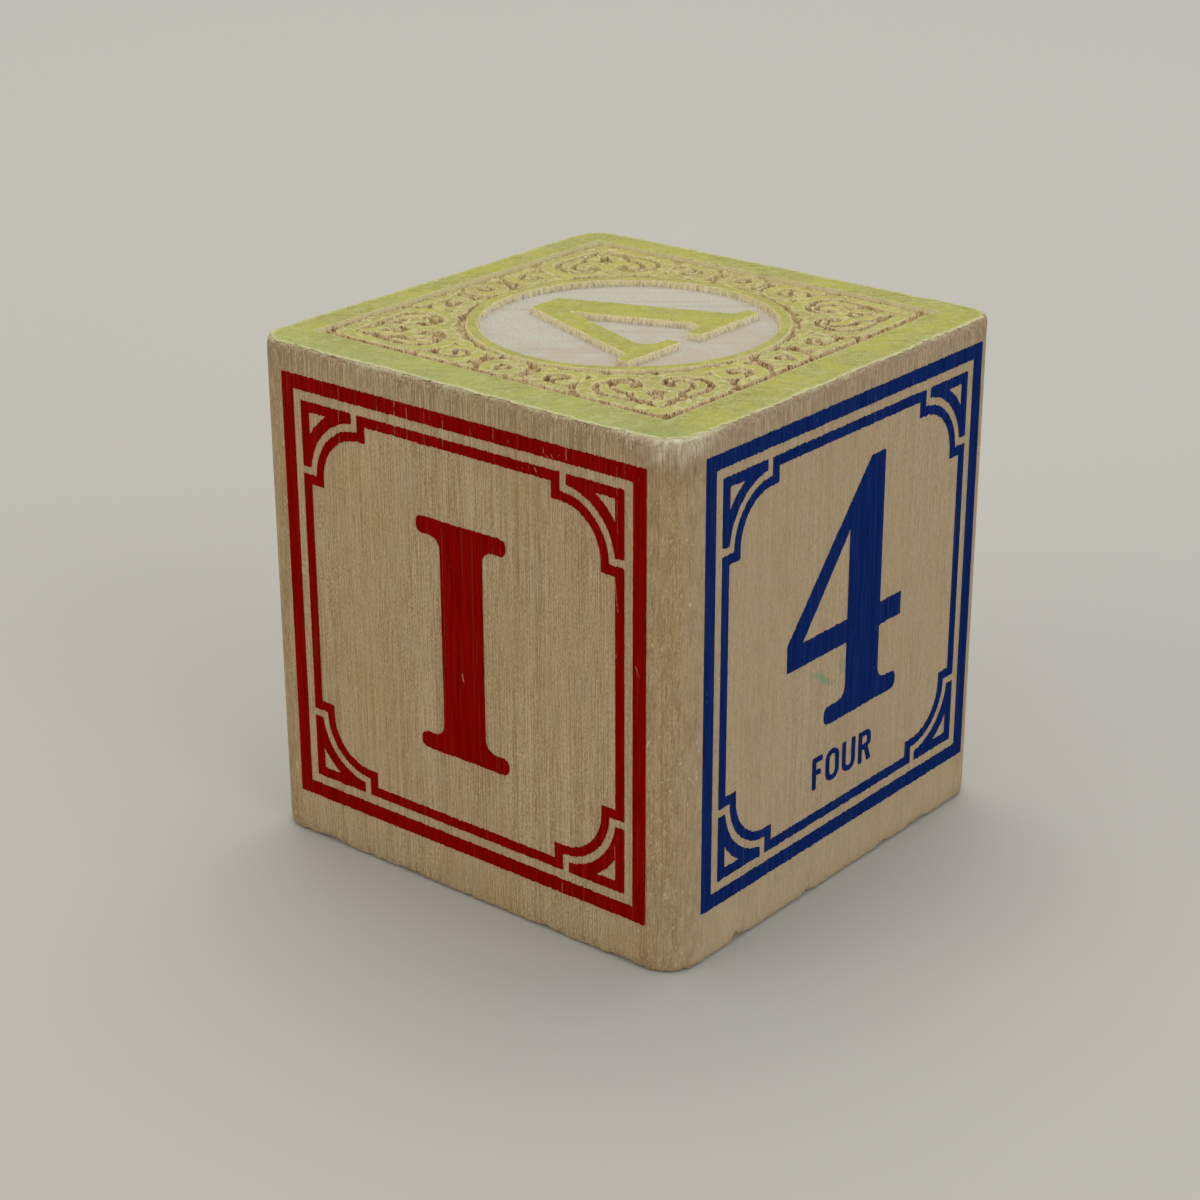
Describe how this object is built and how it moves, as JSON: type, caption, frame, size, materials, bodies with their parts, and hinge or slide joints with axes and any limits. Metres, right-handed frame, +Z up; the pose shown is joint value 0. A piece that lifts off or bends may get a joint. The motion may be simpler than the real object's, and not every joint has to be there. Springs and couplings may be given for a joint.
{
  "type": "alphabet block",
  "caption": "Solid wooden toy cube with rounded upright edges, printed letter and numeral frames on its sides and a letter pressed in relief at each end.",
  "frame": {"origin": "middle of the underside, on the surface the block stands on", "axes": "+Z up along the wood's grain to the pressed end that carries the painted V, -Y out of the red letter side, +X out of the blue numeral side"},
  "size_m": [0.0446, 0.0446, 0.0446],
  "materials": {
    "basswood": "sanded bare, fine upright grain",
    "red_ink": "thin printed ink, matte",
    "blue_ink": "thin printed ink, matte",
    "green_paint": "thin yellow-green paint rolled on, matte"
  },
  "bodies": {
    "root": {"wood_block": "basswood", "front_frame_band": "red_ink", "front_frame_line": "red_ink", "front_corner_fans": "red_ink", "front_letter": "red_ink", "right_frame_band": "blue_ink", "right_frame_line": "blue_ink", "right_corner_fans": "blue_ink", "right_numeral": "blue_ink", "back_frame_band": "red_ink", "back_frame_line": "red_ink", "back_corner_fans": "red_ink", "back_star": "red_ink", "left_frame_band": "blue_ink", "left_frame_line": "blue_ink", "left_corner_fans": "blue_ink", "left_letter": "blue_ink", "top_border_coat": "green_paint", "top_ring_coat": "green_paint", "top_letter_coat": "green_paint", "bottom_border_coat": "green_paint", "bottom_ring_coat": "green_paint", "bottom_letter_coat": "green_paint"}
  },
  "joints": []
}
